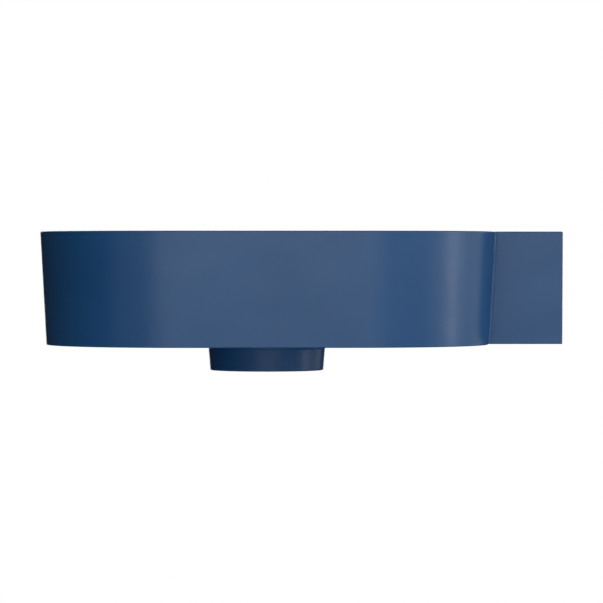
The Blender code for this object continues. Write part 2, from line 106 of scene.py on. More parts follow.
# Roundings that the CAD leaves sharp.
RIM_EDGE = 0.0013
INNER_RIM_EDGE = 0.0025
FOOT_EDGE = 0.0008
WALL_EDGE = 0.0018
BLOCK_CORNER = 0.0010
BOSS_EDGE = 0.0014
HOLE_EDGE = 0.0012
WASTE_HOLE_EDGE = 0.0005

CORNER_STEPS = 28
EDGE_STEPS = 6
TURN_STEPS = 96
PAST = 0.005
CLEARANCE = 0.0003
ON_AXIS = 1e-7
NEAR = 1e-6


def down(depth):
    """The height of a place this far below the rim."""
    return RIM_Z - depth


# Camera and floor

CAMERA_LENS = 207.5
CAMERA_DISTANCE = 3.0
CAMERA_FROM_FRONT = 0.191
CAMERA_BELOW_RIM = 0.0188
CAMERA_PITCH = math.radians(0.81)
CAMERA_YAW = math.radians(0.797)
FLOOR_BELOW_RIM = 5.0
FLOOR_HALF_SIZE = 20.0


def make_camera():
    """A long lens at the basin's right side, a little below the rim, looking along -X."""
    data = bpy.data.cameras.new("camera")
    data.lens = CAMERA_LENS
    data.sensor_width = 36.0
    data.clip_end = 50.0
    camera = bpy.data.objects.new("camera", data)
    bpy.context.scene.collection.objects.link(camera)
    camera.location = (WIDTH / 2 + CAMERA_DISTANCE, FRONT_Y + CAMERA_FROM_FRONT, RIM_Z - CAMERA_BELOW_RIM)
    camera.rotation_euler = (math.radians(90) - CAMERA_PITCH, 0.0, math.radians(90) - CAMERA_YAW)
    bpy.context.scene.camera = camera


make_camera()


# Mesh building


def finish_mesh(bm, name):
    """A mesh from a bmesh, with its faces turned outwards."""
    bmesh.ops.recalc_face_normals(bm, faces=bm.faces)
    mesh = bpy.data.meshes.new(name)
    bm.to_mesh(mesh)
    bm.free()
    return mesh


def add_object(name, mesh):
    """An object in the scene with this mesh."""
    made = bpy.data.objects.new(name, mesh)
    bpy.context.scene.collection.objects.link(made)
    return made


def rounded(corners, steps=EDGE_STEPS, closed=False):
    """A profile of (a, b, radius) corners as points, with an arc at each corner that has a radius."""
    points = []
    last = len(corners) - 1
    for i, (a, b, radius) in enumerate(corners):
        here = Vector((a, b))
        if radius == 0.0 or (not closed and i in (0, last)):
            points.append(here)
            continue
        before = (Vector(corners[i - 1][:2]) - here).normalized()
        after = (Vector(corners[(i + 1) % len(corners)][:2]) - here).normalized()
        half = math.acos(max(-1.0, min(1.0, before.dot(after)))) / 2
        centre = here + (before + after).normalized() * (radius / math.sin(half))
        start = here + before * (radius / math.tan(half)) - centre
        turn = 1.0 if before.x * after.y - before.y * after.x < 0 else -1.0
        for k in range(steps + 1):
            angle = turn * (math.pi - 2 * half) * k / steps
            points.append(centre + Matrix.Rotation(angle, 2) @ start)
    return [tuple(point) for point in points]


def arc(centre, radius, start, end, steps):
    """Points along an arc, both ends included, with its angles in degrees."""
    angles = [math.radians(start + (end - start) * i / steps) for i in range(steps + 1)]
    return [(centre[0] + radius * math.cos(t), centre[1] + radius * math.sin(t)) for t in angles]


def both_sides(right_half):
    """A closed outline from its half at x > 0, which runs from front to back."""
    return right_half + [(-x, y) for x, y in reversed(right_half)]


def loft(name, rings):
    """A closed solid through rings of 3-D points, each with the same number of points."""
    bm = bmesh.new()
    loops = [[bm.verts.new(point) for point in points] for points in rings]
    for upper, lower in zip(loops, loops[1:]):
        for i in range(len(upper)):
            bm.faces.new((upper[i - 1], upper[i], lower[i], lower[i - 1]))
    bm.faces.new(loops[0])
    bm.faces.new(loops[-1])
    return add_object(name, finish_mesh(bm, name))


def at_height(outline, z):
    """A plan outline as 3-D points at one height."""
    return [(x, y, z) for x, y in outline]


def turned(name, profile, steps=TURN_STEPS, closed=True, centre=None):
    """A solid turned about a vertical axis, the waste's unless a centre is given.

    A profile that meets the axis isn't closed: it starts and ends there.
    """
    bm = bmesh.new()
    loops = []
    for radius, z in profile:
        count = 1 if radius < ON_AXIS else steps
        angles = [2 * math.pi * i / steps for i in range(count)]
        loops.append([bm.verts.new((radius * math.cos(t), radius * math.sin(t), z)) for t in angles])
    pairs = list(zip(loops, loops[1:]))
    if closed:
        pairs.append((loops[-1], loops[0]))
    for upper, lower in pairs:
        for i in range(steps):
            places = ((upper, i), (upper, i + 1), (lower, i + 1), (lower, i))
            corners = [loop[k % len(loop)] for loop, k in places]
            bm.faces.new(list(dict.fromkeys(corners)))
    made = add_object(name, finish_mesh(bm, name))
    made.location = centre or (0.0, WASTE_Y, 0.0)
    return made


def combine(part, others, operation):
    """Cuts or joins the other solids in one Boolean, applies it and removes them."""
    group = bpy.data.collections.new(part.name + "_" + operation.lower())
    for other in others:
        group.objects.link(other)
    step = part.modifiers.new("combine", "BOOLEAN")
    step.operation = operation
    step.solver = "EXACT"
    step.operand_type = "COLLECTION"
    step.collection = group
    bpy.context.view_layer.update()
    apply_modifiers(part)
    for other in others:
        bpy.data.objects.remove(other)
    bpy.data.collections.remove(group)


def apply_modifiers(part):
    """Puts what the modifiers make into the mesh, and removes them."""
    evaluated = part.evaluated_get(bpy.context.evaluated_depsgraph_get())
    mesh = bpy.data.meshes.new_from_object(evaluated)
    part.modifiers.clear()
    part.data = mesh
    mesh.name = part.name


def smooth(part, angle=32):
    """Smooth shading that keeps real edges, with normals weighted by face area so that flats stay flat."""
    part.data.shade_smooth()
    part.data.set_sharp_from_angle(angle=math.radians(angle))
    step = part.modifiers.new("weighted", "WEIGHTED_NORMAL")
    step.weight = 100
    step.keep_sharp = True
    bpy.context.view_layer.update()
    apply_modifiers(part)


# The casting


def outer_outline(inset, wall_inset):
    """The plan of body and wall block, stepped in by inset, and by wall_inset at the wall."""
    radius = CORNER_RADIUS - inset
    front = (CORNER_X, FRONT_Y + CORNER_RADIUS)
    rear = (CORNER_X, BODY_BACK_Y - CORNER_RADIUS)
    reach = radius + JOIN_FILLET
    lean = max(JOIN_FILLET - inset, 0.0)
    angle = math.degrees(math.asin(lean / reach))
    join = (CORNER_X - inset + JOIN_FILLET, rear[1] + math.sqrt(reach**2 - lean**2))
    corner = (CORNER_X - inset - BLOCK_CORNER, -wall_inset - BLOCK_CORNER)
    half = arc(front, radius, -90, 0, CORNER_STEPS)
    half += arc(rear, radius, 0, 90 - angle, CORNER_STEPS)
    half += arc(join, JOIN_FILLET, 270 - angle, 180, EDGE_STEPS + 2)
    half += arc(corner, BLOCK_CORNER, 0, 90, 3)
    return both_sides(half)


def outer_solid():
    """Flat rim, leaning walls and flat underside, with small roundings at rim and foot."""
    top = [(RIM_EDGE * 3, 0.0, 0.0), (0.0, 0.0, RIM_EDGE), (FOOT_INSET, BODY_HEIGHT, 0.0)]
    foot = [(0.0, 0.0, 0.0), (FOOT_INSET, BODY_HEIGHT, FOOT_EDGE), (FOOT_INSET * 3, BODY_HEIGHT, 0.0)]
    rings = []
    for inset, depth in rounded(top)[1:-1] + rounded(foot)[1:-1]:
        above = max(WALL_EDGE - depth, 0.0)
        wall_inset = WALL_EDGE - math.sqrt(WALL_EDGE**2 - above**2)
        rings.append(at_height(outer_outline(inset, wall_inset), down(depth)))
    return loft("basin_glazed", rings)


def bowl_outline(inset):
    """The bowl's plan, stepped in from its line at the rim."""
    radius = CORNER_RADIUS - RIM_THICKNESS - inset
    front = (CORNER_X, FRONT_Y + CORNER_RADIUS)
    rear = (CORNER_X, BOWL_BACK_Y - CORNER_RADIUS + RIM_THICKNESS)
    half = arc(front, radius, -90, 0, CORNER_STEPS)
    half += arc(rear, radius, 0, 90, CORNER_STEPS)
    return both_sides(half)


def with_straights_divided(outline, longest=0.030):
    """The same outline with points along its straight runs, for the rays of the floor."""
    found = []
    for a, b in zip(outline, outline[1:] + outline[:1]):
        found.append(a)
        count = int(math.dist(a, b) / longest)
        found += [
            (a[0] + (b[0] - a[0]) * k / (count + 1), a[1] + (b[1] - a[1]) * k / (count + 1))
            for k in range(1, count + 1)
        ]
    return found


def towards_waste(outline, share, end_radius):
    """An outline drawn in along rays to a circle round the waste, by a share from 0 to 1."""
    found = []
    for x, y in outline:
        reach = math.hypot(x, y - WASTE_Y)
        scale = 1 + (end_radius / reach - 1) * share
        found.append((x * scale, WASTE_Y + (y - WASTE_Y) * scale))
    return found


def bowl_solid():
    """The bowl's hollow: rounded rim, leaning wall, fillet, and a floor that falls to the waste."""
    foot = FLOOR_EDGE_DEPTH * math.tan(BOWL_DRAFT)
    rim = [(-INNER_RIM_EDGE * 3, 0.0, 0.0), (0.0, 0.0, INNER_RIM_EDGE), (foot, FLOOR_EDGE_DEPTH, 0.0)]
    base = [(0.0, 0.0, 0.0), (foot, FLOOR_EDGE_DEPTH, BOWL_FILLET), (foot * 9, FLOOR_EDGE_DEPTH, 0.0)]
    profile = rounded(rim, 8)[2:-1] + rounded(base, 14)[1:-1]
    profile = [(profile[0][0], -PAST)] + [tuple(p) for p in profile]
    rings = [at_height(with_straights_divided(bowl_outline(inset)), down(depth)) for inset, depth in profile]
    edge = [point[:2] for point in rings[-1]]
    floor_steps = 10
    for i in range(1, floor_steps + 1):
        share = i / floor_steps
        fall = (FLOOR_DEPTH - FLOOR_EDGE_DEPTH) * share * share * (3 - 2 * share)
        inner = towards_waste(edge, share, RECESS_RADIUS * 0.8)
        rings.append(at_height(inner, down(FLOOR_EDGE_DEPTH + fall)))
    return loft("bowl_solid", rings)


def boss_solid():
    """The boss, with a concave fillet to the underside and a rounded lower edge."""
    start = BOSS_RADIUS + BOSS_FILLET
    corners = [
        (start + BOSS_FILLET, BODY_HEIGHT, 0.0),
        (BOSS_RADIUS, BODY_HEIGHT, BOSS_FILLET),
        (BOSS_END_RADIUS, BOSS_END_DEPTH, 0.0),
    ]
    end = [
        (BOSS_RADIUS, BODY_HEIGHT, 0.0),
        (BOSS_END_RADIUS, BOSS_END_DEPTH, BOSS_EDGE),
        (BOSS_RADIUS / 2, BOSS_END_DEPTH, 0.0),
    ]
    curve = rounded(corners, 10)[2:-1] + rounded(end, EDGE_STEPS)[1:-1]
    profile = [(0.0, BODY_HEIGHT - PAST), (curve[0][0], BODY_HEIGHT - PAST), *curve, (0.0, BOSS_END_DEPTH)]
    return turned("boss_solid", [(r, down(d)) for r, d in profile], closed=False)


def flared(radius, depth_in, depth_out, edge, name, y):
    """A round cutter along Z whose mouth at depth_in flares with a rounding, to soften the hole's edge."""
    mouth = rounded([(radius + edge * 3, depth_in, 0.0), (radius, depth_in, edge), (radius, depth_out, 0.0)])
    sign = 1.0 if depth_out > depth_in else -1.0
    start = [(0.0, depth_in - sign * PAST), (mouth[2][0], depth_in - sign * PAST)]
    profile = [*start, *mouth[2:], (0.0, depth_out)]
    if sign < 0:
        profile = profile[::-1]
    return turned(name, [(r, down(d)) for r, d in profile], closed=False, centre=(0.0, y, 0.0))


def round_block(name, x_low, x_high, y_low, y_high, z_low, z_high, narrowing=(0.0, 0.0), radius=0.006):
    """An upright block with rounded vertical corners, its low-x and high-x sides leaning inwards below."""
    rings = []
    for z, share in ((z_high, 0.0), (z_low, 1.0)):
        left, right = x_low + narrowing[0] * share, x_high - narrowing[1] * share
        outline = arc((right - radius, y_high - radius), radius, 0, 90, 5)
        outline += arc((left + radius, y_high - radius), radius, 90, 180, 5)
        outline += arc((left + radius, y_low + radius), radius, 180, 270, 5)
        outline += arc((right - radius, y_low + radius), radius, 270, 360, 5)
        rings.append(at_height(outline, z))
    return loft(name, rings)


def cavity_solids():
    """The service cavity, open below, and a pocket each side of the overflow duct."""
    top, low = down(SHELL), down(BODY_HEIGHT + PAST)
    lean = FOOT_INSET - SHELL * math.tan(DRAFT)
    wall = CORNER_X - SHELL - SHELL * math.tan(DRAFT)
    side = wall - POCKET_STEP
    duct = DUCT_HALF_WIDTH
    pocket = (BODY_BACK_Y - POCKET_DEPTH, BODY_BACK_Y + POCKET_DEPTH, low, top - CLEARANCE)
    return [
        round_block("cavity", -wall, wall, BODY_BACK_Y, -SHELL, low, top, (lean, lean)),
        round_block("pocket_right", duct, side, *pocket, (0.0, lean)),
        round_block("pocket_left", -side, -duct, *pocket, (lean, 0.0)),
    ]


def overflow_axis():
    """Where the overflow hole meets the bowl's rear wall, and its tilt."""
    y = BOWL_BACK_Y - OVERFLOW_DEPTH * math.tan(BOWL_DRAFT)
    place = Matrix.Translation((0.0, y, down(OVERFLOW_DEPTH)))
    return place @ Matrix.Rotation(math.radians(90) - BOWL_DRAFT, 4, "X")


def passage_solids():
    """The overflow hole, the fall behind the bowl and the run through the floor."""
    radius, end = OVERFLOW_HOLE_RADIUS, -OVERFLOW_HOLE_LENGTH
    hole_profile = [(0.0, PAST), (radius, PAST), (radius, end), (0.0, end)]
    hole = turned("overflow_hole", hole_profile, closed=False)
    hole.matrix_world = overflow_axis()
    half = PASSAGE_HALF_WIDTH
    low, high = down(RUN_DEPTHS[1]), down(RUN_DEPTHS[0])
    fall = round_block("fall", -half, half, *PASSAGE_Y, low, down(PASSAGE_TOP_DEPTH), radius=0.003)
    run = round_block(
        "run", CLEARANCE - half, half - CLEARANCE, WASTE_Y + WASTE_HOLE_RADIUS / 2, PASSAGE_Y[0] + PAST,
        low + CLEARANCE, high, radius=0.001,
    )
    return [hole, fall, run]


def fixing_axis(sign):
    """Where a fixing hole meets the wall, with its own Z pointing at the wall."""
    return Matrix.Translation((sign * FIXING_X, 0.0, 0.0)) @ Matrix.Rotation(math.radians(-90), 4, "X")


def fixing_solids():
    """The two holes in the wall plate, with softened rims on the wall side."""
    radius, end = FIXING_HOLE_RADIUS, -FIXING_HOLE_LENGTH
    mouth = rounded([(radius + HOLE_EDGE * 3, 0.0, 0.0), (radius, 0.0, HOLE_EDGE), (radius, end, 0.0)])
    profile = [(0.0, PAST), (mouth[2][0], PAST), *mouth[2:], (0.0, end)]
    found = []
    for sign in (-1, 1):
        hole = turned("fixing_hole", profile, 64, closed=False)
        hole.matrix_world = fixing_axis(sign)
        found.append(hole)
    return found


def make_basin():
    """The casting: the outer solid and boss joined, then everything cut from them at once."""
    basin = outer_solid()
    combine(basin, [boss_solid()], "UNION")
    cutters = [
        bowl_solid(),
        flared(RECESS_RADIUS, FLOOR_DEPTH, RECESS_DEPTH, HOLE_EDGE, "recess", WASTE_Y),
        flared(WASTE_HOLE_RADIUS, RECESS_DEPTH, WEB_DEPTH + PAST, WASTE_HOLE_EDGE, "waste_hole", WASTE_Y),
        flared(BOSS_END_RADIUS - BOSS_WALL, BOSS_END_DEPTH, WEB_DEPTH, HOLE_EDGE, "boss_hollow", WASTE_Y),
        flared(TAP_HOLE_RADIUS, 0.0, SHELL + PAST, HOLE_EDGE, "tap_hole", TAP_HOLE_Y),
    ]
    combine(basin, cutters + cavity_solids() + passage_solids() + fixing_solids(), "DIFFERENCE")
    smooth(basin)
    return basin


# The metal, plastic and rubber pieces

WASTE_BODY_LOW, WASTE_BODY_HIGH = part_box("waste_body")
FLANGE_RADIUS = (WASTE_BODY_HIGH.x - WASTE_BODY_LOW.x) / 2
FLANGE_THICKNESS = 0.0021
FLANGE_DEPTHS = (RIM_Z - WASTE_BODY_HIGH.z, RIM_Z - WASTE_BODY_HIGH.z + FLANGE_THICKNESS)
TAIL_DEPTH = RIM_Z - WASTE_BODY_LOW.z
MOUTH_RADIUS = 0.0225
CONE_DEPTH = 0.0848
NECK_RADIUS = 0.0226
NECK_DEPTH = 0.0868
TAIL_RADIUS = 0.02095
TAIL_BORE = 0.0185
SLOT_DEPTHS = (0.0880, 0.0970)
SLOT_WIDTH = 0.018
THREAD_PITCH = 0.002309
THREAD_HEIGHT = 0.0012
THREAD_START_DEPTH = 0.0990
THREAD_CHAMFER = 0.0015
THREAD_STEPS_PER_TURN = 10
HUB_RADIUS = 0.0085
HUB_BORE = 0.0053
HUB_DEPTHS = (0.1157, 0.1207)
SPIDER_ARMS = 3
ARM_WIDTH = 0.003
BACK_NUT_ACROSS = 0.052
LOCK_NUT_ACROSS = 0.010
SHAFT_RADIUS = 0.003
SHAFT_BORE = SHAFT_RADIUS + CLEARANCE
LATCH_TEETH = 8
LATCH_TOOTH_HEIGHT = 0.0010
SPRING_RADIUS = 0.0040
SPRING_WIRE_RADIUS = 0.00045
SPRING_TURNS = 5
SPRING_STEPS_PER_TURN = 24
SPRING_SIDES = 10
FLANGE_SEAL_BORE = 0.0236
GASKET_BORE = 0.0213


def depths_of(node):
    """How far below the rim a node's top and bottom lie."""
    low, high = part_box(node)
    return RIM_Z - high.z, RIM_Z - low.z


def radius_of(node):
    """Half a round node's width."""
    low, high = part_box(node)
    return (high.x - low.x) / 2


def cut_profile(corners, closed):
    """A profile of (radius, height) points from (radius, depth, rounding) corners."""
    return [(r, down(d)) for r, d in rounded(corners, closed=closed)]


def turned_piece(name, corners, closed=False, steps=TURN_STEPS):
    """A turned piece on the waste's axis from (radius, depth, rounding) corners."""
    made = turned(name, cut_profile(corners, closed), steps, closed)
    smooth(made)
    return made


def ring_piece(name, node, bore, edge):
    """A ring that fills its CAD node's height and radius, with rounded edges."""
    top, bottom = depths_of(node)
    outer = radius_of(node)
    corners = [(bore, top, edge), (outer, top, edge), (outer, bottom, edge), (bore, bottom, edge)]
    return turned_piece(name, corners, closed=True)


def overflow_trim():
    """A chrome ring with a rolled face, and the barrel that goes into the overflow hole."""
    bore, face, barrel_end = 0.0090, 0.0023, -0.012
    barrel = OVERFLOW_HOLE_RADIUS - CLEARANCE
    outer = radius_of("overflow_ring")
    corners = [
        (bore, face, 0.0011),
        (outer, face, 0.0016),
        (outer, CLEARANCE, 0.0003),
        (barrel, CLEARANCE, 0.0),
        (barrel, barrel_end, 0.0004),
        (bore, barrel_end, 0.0004),
    ]
    ring = turned("overflow_trim", rounded(corners, closed=True))
    smooth(ring)
    ring.matrix_world = overflow_axis()
    return ring


def wall_sleeve(side, sign):
    """A moulded bush for a wall stud, with crush ribs along its barrel and a dished flange."""
    bore, flange_radius, flange = 0.0062, 0.015, 0.0025
    barrel = FIXING_HOLE_RADIUS - CLEARANCE
    seat = -SHELL - CLEARANCE
    front = seat - flange
    corners = [
        (bore, -CLEARANCE, 0.0004),
        (barrel, -CLEARANCE, 0.0008),
        (barrel, seat, 0.0),
        (flange_radius, seat, 0.0004),
        (flange_radius, front, 0.0009),
        (bore + 0.0035, front, 0.0004),
        (bore + 0.0025, front + 0.0007, 0.0004),
        (bore, front + 0.0007, 0.0003),
    ]
    sleeve = turned(f"wall_sleeve_{side}", rounded(corners, closed=True), 72)
    for vertex in sleeve.data.vertices:
        x, y, z = vertex.co
        if math.hypot(x, y) > barrel - CLEARANCE and z > seat + 0.0005:
            groove = 0.5 - 0.5 * math.cos(8 * math.atan2(y, x))
            vertex.co = (x * (1 - 0.06 * groove), y * (1 - 0.06 * groove), z)
    smooth(sleeve)
    sleeve.matrix_world = fixing_axis(sign)
    return sleeve


def thread_height(turns):
    """A rounded V thread's height, from 0 at the root to 1 at the crest, at a place along its turns."""
    wave = abs((turns % 1.0) * 2 - 1)
    return min(1.0, max(0.0, 1.25 * wave - 0.125))


def waste_tube():
    """The flange, conical seat, neck and threaded tail as one turning whose thread is a true helix."""
    top, flange_bottom = FLANGE_DEPTHS
    corners = [
        (TAIL_BORE, TAIL_DEPTH, 0.0004),
        (TAIL_BORE, CONE_DEPTH, 0.002),
        (MOUTH_RADIUS, top, 0.0012),
        (FLANGE_RADIUS, top, 0.0009),
        (FLANGE_RADIUS, flange_bottom, 0.0004),
        (NECK_RADIUS, flange_bottom, 0.0),
        (NECK_RADIUS, NECK_DEPTH, 0.0005),
        (TAIL_RADIUS, NECK_DEPTH, 0.0),
        (TAIL_RADIUS, TAIL_DEPTH, 0.0),
    ]
    profile = rounded(corners, closed=True)[:-1]
    length = TAIL_DEPTH - THREAD_START_DEPTH
    count = int(length / THREAD_PITCH * THREAD_STEPS_PER_TURN)
    for i in range(count + 1):
        profile.append((TAIL_RADIUS, THREAD_START_DEPTH + length * i / count))
    tube = turned("waste_tube", [(r, down(d)) for r, d in profile])
    for vertex in tube.data.vertices:
        x, y, z = vertex.co
        depth = RIM_Z - z
        if depth < THREAD_START_DEPTH + NEAR or math.hypot(x, y) < TAIL_RADIUS - NEAR:
            continue
        turns = (depth - THREAD_START_DEPTH) / THREAD_PITCH - math.atan2(y, x) / (2 * math.pi)
        fade = min(1.0, (TAIL_DEPTH - depth) / THREAD_CHAMFER + 0.35)
        scale = 1 - THREAD_HEIGHT * (1 - thread_height(turns) * fade) / TAIL_RADIUS
        vertex.co = (x * scale, y * scale, z)
    return tube


def upright_bar(name, x_low, x_high, half_width, depths, turn, edge):
    """A bar across the waste's axis, with rounded long edges, turned about the axis."""
    top, bottom = depths
    section = rounded(
        [
            (-half_width, top, edge),
            (half_width, top, edge),
            (half_width, bottom, edge),
            (-half_width, bottom, edge),
        ],
        closed=True,
    )
    rings = [[(x, y, down(d)) for y, d in section] for x in (x_low, x_high)]
    bar = loft(name, rings)
    bar.matrix_world = Matrix.Translation((0.0, WASTE_Y, 0.0)) @ Matrix.Rotation(turn, 4, "Z")
    return bar


def waste_casting():
    """The slotted, threaded tube and the spider in it that carries the cartridge."""
    tube = waste_tube()
    reach = TAIL_RADIUS + PAST
    slots = [
        upright_bar(f"slot_{i}", -reach, reach, SLOT_WIDTH / 2, SLOT_DEPTHS, math.radians(45 + 90 * i), 0.002)
        for i in range(2)
    ]
    combine(tube, slots, "DIFFERENCE")
    top, bottom = HUB_DEPTHS
    hub_corners = [(HUB_BORE, top, 0.0003), (HUB_RADIUS, top, 0.0006), (HUB_RADIUS, bottom, 0.0006)]
    hub_corners.append((HUB_BORE, bottom, 0.0003))
    solids = [turned("hub", cut_profile(hub_corners, True), 48)]
    arm_depths = (top + 0.0005, bottom - 0.0005)
    for i in range(SPIDER_ARMS):
        turn = math.radians(90 + 360 * i / SPIDER_ARMS)
        inner, outer = HUB_RADIUS - 0.001, TAIL_BORE + 0.001
        solids.append(upright_bar(f"arm_{i}", inner, outer, ARM_WIDTH / 2, arm_depths, turn, 0.0006))
    combine(tube, solids, "UNION")
    smooth(tube)
    return tube


def hex_nut(name, node, across_flats, bore, washer_face):
    """A hexagon nut with chamfered corners, countersunk bore and a round washer face."""
    top, bottom = depths_of(node)
    corner = across_flats / 2 / math.cos(math.radians(30))
    chamfer = corner - across_flats / 2
    drop = chamfer * 0.6
    face = washer_face * (bottom - top)
    blank_corners = [
        (bore + 0.0006, top, 0.0),
        (across_flats / 2 - 0.0005, top, 0.0002),
        (across_flats / 2 - 0.0005, top + face, 0.0),
        (across_flats / 2, top + face, 0.0),
        (corner, top + face + drop, 0.0),
        (corner, bottom - drop, 0.0),
        (across_flats / 2 - 0.0004, bottom, 0.0),
        (bore + 0.0006, bottom, 0.0),
        (bore, bottom - 0.0006, 0.0),
        (bore, top + 0.0006, 0.0),
    ]
    nut = turned(name, cut_profile(blank_corners, True), TURN_STEPS)
    bm = bmesh.new()
    bmesh.ops.create_cone(bm, cap_ends=True, segments=6, radius1=corner, radius2=corner, depth=0.05)
    bmesh.ops.bevel(
        bm, geom=[e for e in bm.edges if abs(e.verts[0].co.z - e.verts[1].co.z) > 0.01],
        offset=0.0004, segments=2, profile=0.5, affect="EDGES",
    )
    hexagon = add_object(f"{name}_hexagon", finish_mesh(bm, name))
    hexagon.location = (0.0, WASTE_Y, down((top + bottom) / 2))
    combine(nut, [hexagon], "INTERSECT")
    smooth(nut, 20)
    return nut


def cartridge_barrel():
    """The white housing: a barrel with a chamber for the spring and a thinner lower end."""
    top, bottom = depths_of("cartridge_housing")
    shoulder, chamber = 0.1154, (0.0925, 0.1134)
    chamber_radius, stem = 0.0056, 0.005
    outer = radius_of("cartridge_housing")
    corners = [
        (0.0, chamber[1], 0.0),
        (chamber_radius, chamber[1], 0.0003),
        (chamber_radius, chamber[0], 0.0003),
        (SHAFT_BORE, chamber[0], 0.0),
        (SHAFT_BORE, top, 0.0003),
        (outer, top, 0.0008),
        (outer, shoulder, 0.0005),
        (stem, shoulder, 0.0),
        (stem, bottom, 0.0006),
        (0.0, bottom, 0.0),
    ]
    return turned_piece("cartridge_barrel", corners, steps=48)


def plunger_shaft():
    """The steel shaft with its chamfered end and its head."""
    top, bottom = depths_of("cartridge_plunger")
    head = radius_of("cartridge_plunger")
    under_head = bottom - 0.003
    corners = [
        (0.0, top, 0.0),
        (SHAFT_RADIUS, top, 0.0005),
        (SHAFT_RADIUS, under_head, 0.0),
        (head, under_head, 0.0003),
        (head, bottom, 0.0004),
        (0.0, bottom, 0.0),
    ]
    return turned_piece("plunger_shaft", corners, steps=48)


def latch_ring():
    """The rotating latch ring, with small ratchet teeth in its upper edge."""
    made = ring_piece("latch_ring", "cartridge_latch_ring", SHAFT_BORE, 0.0002)
    top = down(depths_of("cartridge_latch_ring")[0])
    for vertex in made.data.vertices:
        x, y, z = vertex.co
        if z > top - 0.0003:
            tooth = (LATCH_TEETH * math.atan2(y, x) / (2 * math.pi)) % 1.0
            vertex.co.z = z - LATCH_TOOTH_HEIGHT * tooth
    return made


def coil_spring():
    """The coil between the chamber's floor and the plunger's head, with closed end turns."""
    low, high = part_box("cartridge_spring")
    count = SPRING_TURNS * SPRING_STEPS_PER_TURN
    wire = SPRING_WIRE_RADIUS
    rise = high.z - low.z - 2 * wire
    rings = []
    for i in range(count + 1):
        share = i / count
        angle = 2 * math.pi * SPRING_TURNS * share
        closed = share - math.sin(2 * math.pi * share) / (2 * math.pi) * 0.6
        out = Vector((math.cos(angle), math.sin(angle), 0.0))
        centre = out * SPRING_RADIUS + Vector((0.0, WASTE_Y, low.z + wire + rise * closed))
        turns = [2 * math.pi * k / SPRING_SIDES for k in range(SPRING_SIDES)]
        rings.append([centre + (out * math.cos(t) + Vector((0, 0, math.sin(t)))) * wire for t in turns])
    spring = loft("coil_spring", rings)
    smooth(spring, 50)
    return spring


def cap_dome():
    """The plug's glazed cap: a low dome, a rounded rim and a glazed underside."""
    top, bottom = depths_of("plug_cap")
    radius = radius_of("plug_cap")
    edge_depth = bottom - 0.0035
    dome_steps = 12
    corners = [(0.0, top, 0.0)]
    for i in range(1, dome_steps):
        share = i / dome_steps
        corners.append(((radius - 0.0016) * share, top + (edge_depth - top) * share**2, 0.0))
    corners += [(radius, edge_depth + 0.0003, 0.0014), (radius, bottom, 0.0010), (0.0, bottom, 0.0)]
    return turned_piece("cap_dome", corners)


def plug_spool():
    """The chrome spool that carries the seal, with the boss that takes the shaft."""
    top, _ = depths_of("plug_carrier")
    corners = [(0.0, top, 0.0)]
    depth = top
    for radius, height in zip((0.0185, 0.0140, 0.0175, 0.0065), (0.0010, 0.0024, 0.0012, 0.0028)):
        edge = 0.0003 if len(corners) != 3 else 0.0
        corners += [(radius, depth, edge), (radius, depth + height, edge)]
        depth += height
    socket = top + 0.0014
    corners += [(SHAFT_BORE, depth, 0.0002), (SHAFT_BORE, socket, 0.0), (0.0, socket, 0.0)]
    return turned_piece("plug_spool", corners)


def lip_seal():
    """The plug's tapered rubber ring, with a soft rounded lip."""
    top, bottom = depths_of("plug_seal")
    inner, foot, lip = 0.0143, 0.0200, radius_of("plug_seal")
    corners = [(lip, top, 0.0006), (foot, bottom, 0.0007), (inner, bottom, 0.0002), (inner, top, 0.0002)]
    return turned_piece("lip_seal", corners, closed=True)


# Materials


def new_material(name):
    """A Principled material, with its node tree and shader."""
    look = bpy.data.materials.new(name)
    look.use_nodes = True
    tree = look.node_tree
    return look, tree, tree.nodes["Principled BSDF"]


def place_of(tree):
    """Object coordinates, which are metres in the CAD's frame."""
    return tree.nodes.new("ShaderNodeTexCoord").outputs["Object"]


def noise(tree, place, scale, detail=2.0, roughness=0.5):
    """Noise from 0 to 1 with this many features to the metre."""
    node = tree.nodes.new("ShaderNodeTexNoise")
    node.inputs["Scale"].default_value = scale
    node.inputs["Detail"].default_value = detail
    node.inputs["Roughness"].default_value = roughness
    tree.links.new(place, node.inputs["Vector"])
    return node.outputs["Fac"]


def ranged(tree, value, from_low, from_high, to_low=0.0, to_high=1.0):
    """A value mapped from one range to another and held within it."""
    node = tree.nodes.new("ShaderNodeMapRange")
    limits = (from_low, from_high, to_low, to_high)
    for name, limit in zip(("From Min", "From Max", "To Min", "To Max"), limits):
        node.inputs[name].default_value = limit
    tree.links.new(value, node.inputs["Value"])
    return node.outputs["Result"]


def calculated(tree, operation, first, second):
    """A Math node on two values, either of which may be a number."""
    node = tree.nodes.new("ShaderNodeMath")
    node.operation = operation
    for socket, value in zip(node.inputs, (first, second)):
        if isinstance(value, float):
            socket.default_value = value
        else:
            tree.links.new(value, socket)
    return node.outputs["Value"]


def mixed(tree, share, first, second):
    """A colour between two, which may be colours or sockets."""
    node = tree.nodes.new("ShaderNodeMix")
    node.data_type = "RGBA"
    sockets = {socket.identifier: socket for socket in node.inputs}
    tree.links.new(share, sockets["Factor_Float"])
    for name, colour in (("A_Color", first), ("B_Color", second)):
        if isinstance(colour, tuple):
            sockets[name].default_value = (*colour, 1.0)
        else:
            tree.links.new(colour, sockets[name])
    return {socket.identifier: socket for socket in node.outputs}["Result_Color"]


def bumped(tree, height, distance, normal=None):
    """A normal that a height from 0 to 1 raises by up to this distance in metres."""
    node = tree.nodes.new("ShaderNodeBump")
    node.inputs["Strength"].default_value = 1.0
    node.inputs["Distance"].default_value = distance
    tree.links.new(height, node.inputs["Height"])
    if normal:
        tree.links.new(normal, node.inputs["Normal"])
    return node.outputs["Normal"]


